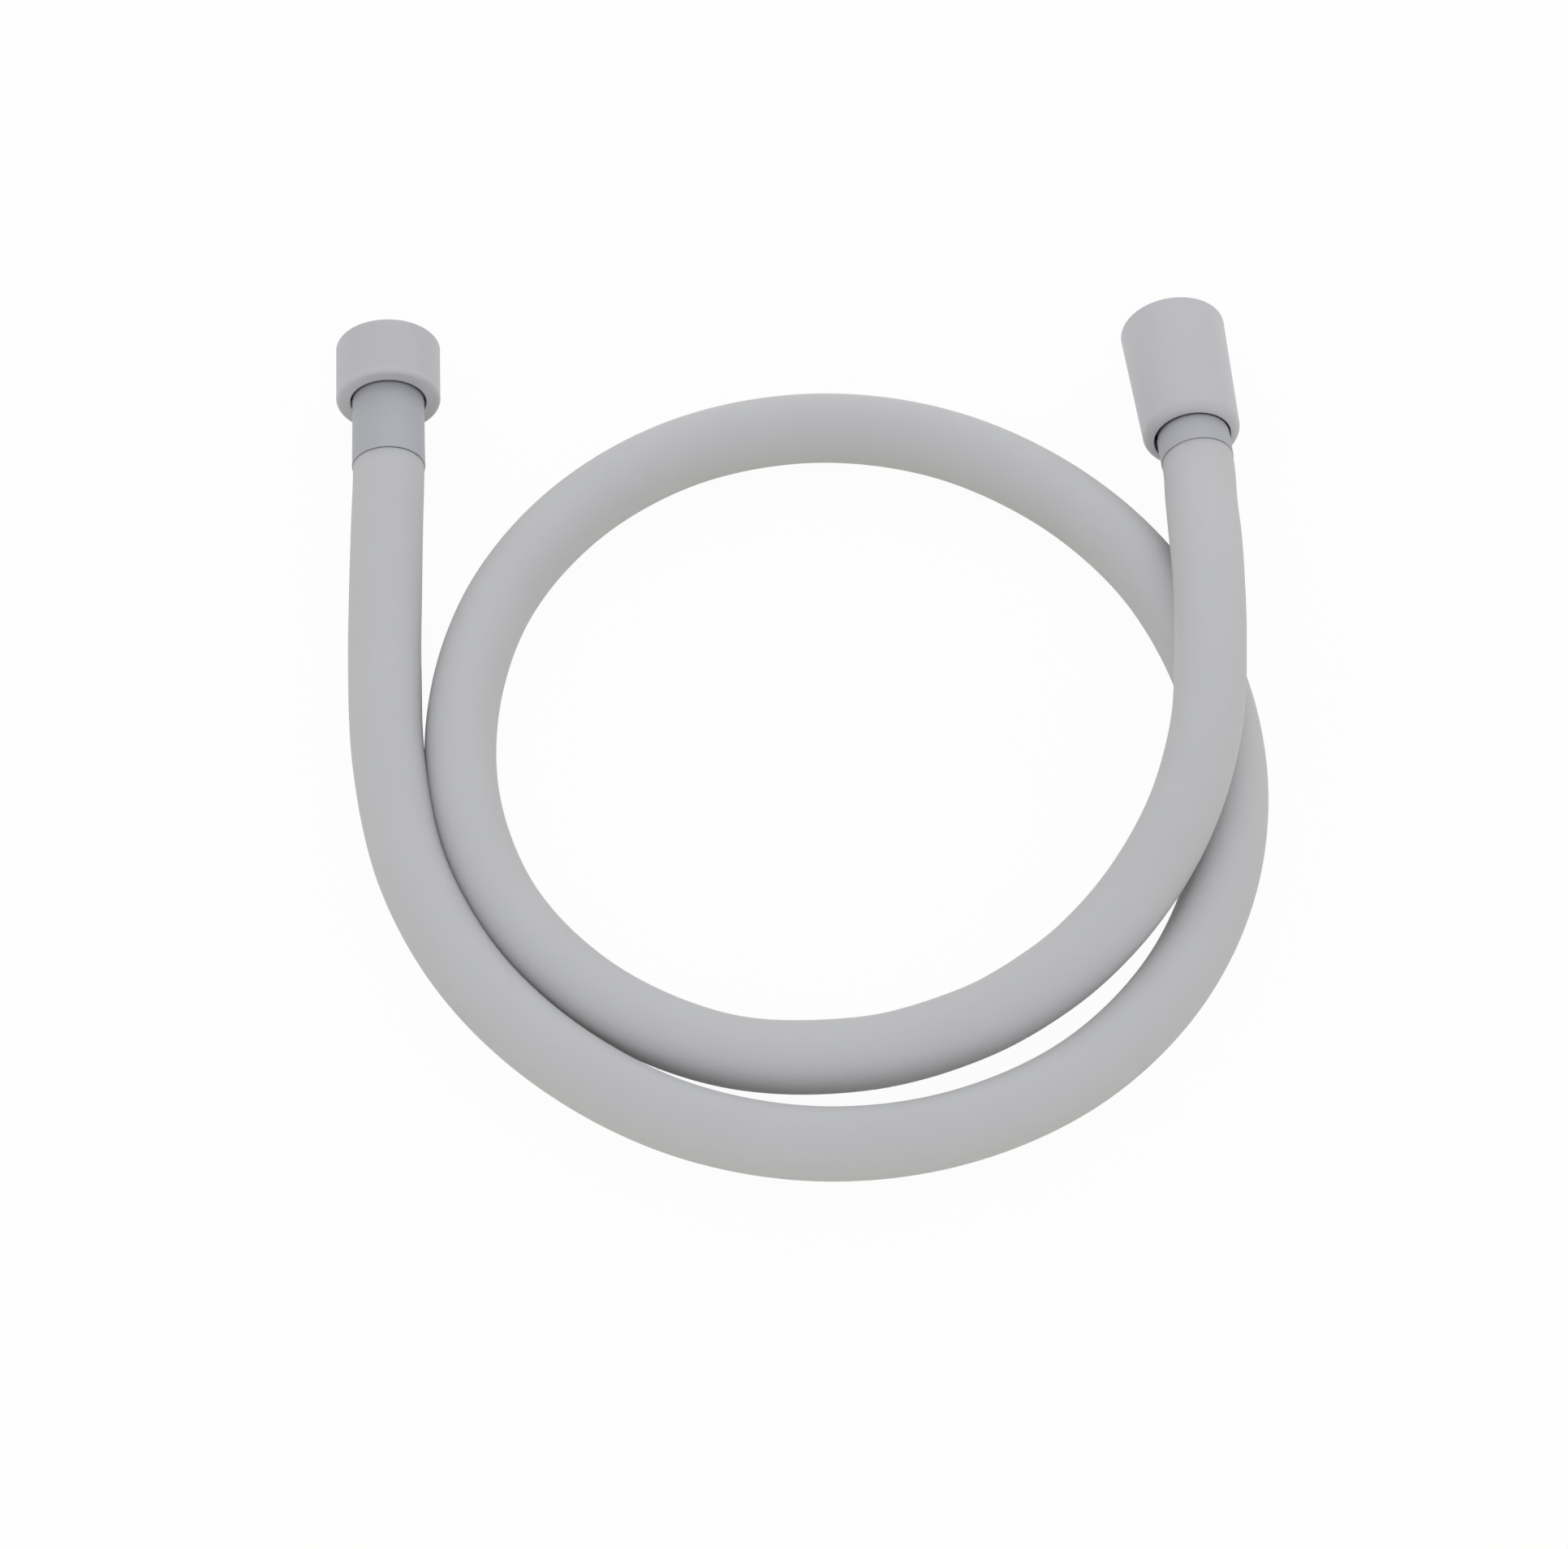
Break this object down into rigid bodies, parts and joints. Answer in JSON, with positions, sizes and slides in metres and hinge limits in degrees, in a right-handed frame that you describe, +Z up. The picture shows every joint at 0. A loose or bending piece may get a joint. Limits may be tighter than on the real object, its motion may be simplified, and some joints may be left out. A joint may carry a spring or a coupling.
{
  "type": "shower hose",
  "caption": "Smooth flexible shower hose lying in one loop, with a knurled union nut for the outlet at one end and a long conical swivel nut for the handset at the other.",
  "frame": {"origin": "on the surface the hose lies on, under the middle of the whole part's box", "axes": "+Z up from that surface, +Y towards the two threaded nuts, +X from the knurled nut towards the conical nut"},
  "size_m": [0.2132, 0.2286, 0.0342],
  "materials": {
    "hose": "smooth satin-matt soft PVC, light grey",
    "nut": "satin lacquered brass, light grey",
    "ferrule": "satin stainless steel, slightly bluish grey",
    "brass": "bare turned brass",
    "acetal": "natural white acetal",
    "seal": "black rubber",
    "spring": "spring steel"
  },
  "bodies": {
    "hose_assembly": {"hose": "hose", "outlet_ferrule": "ferrule", "outlet_tail": "brass", "outlet_washer": "seal", "handset_ferrule": "ferrule", "swivel_tail": "brass", "swivel_thrust_ring": "acetal", "swivel_snap_ring": "spring", "swivel_o_ring_1": "seal", "swivel_o_ring_2": "seal"},
    "outlet_nut": {"knurled_nut": "nut"},
    "handset_nut": {"conical_nut": "nut"},
    "swivel": {"swivel_sleeve": "brass", "handset_washer": "seal"}
  },
  "joints": [
    {"name": "knurled_nut_spin", "type": "hinge", "parent": "hose_assembly", "child": "outlet_nut", "pos_m": [-0.0943, 0.09897, 0.01231], "axis": [-0.0384, 0.9989, 0.0262], "continuous": true},
    {"name": "conical_nut_spin", "type": "hinge", "parent": "hose_assembly", "child": "handset_nut", "pos_m": [0.09289, 0.08013, 0.01391], "axis": [-0.1044, 0.9932, -0.0523], "continuous": true},
    {"name": "swivel_spin", "type": "hinge", "parent": "hose_assembly", "child": "swivel", "pos_m": [0.09171, 0.09276, 0.01337], "axis": [-0.1044, 0.9932, -0.0523], "continuous": true}
  ]
}
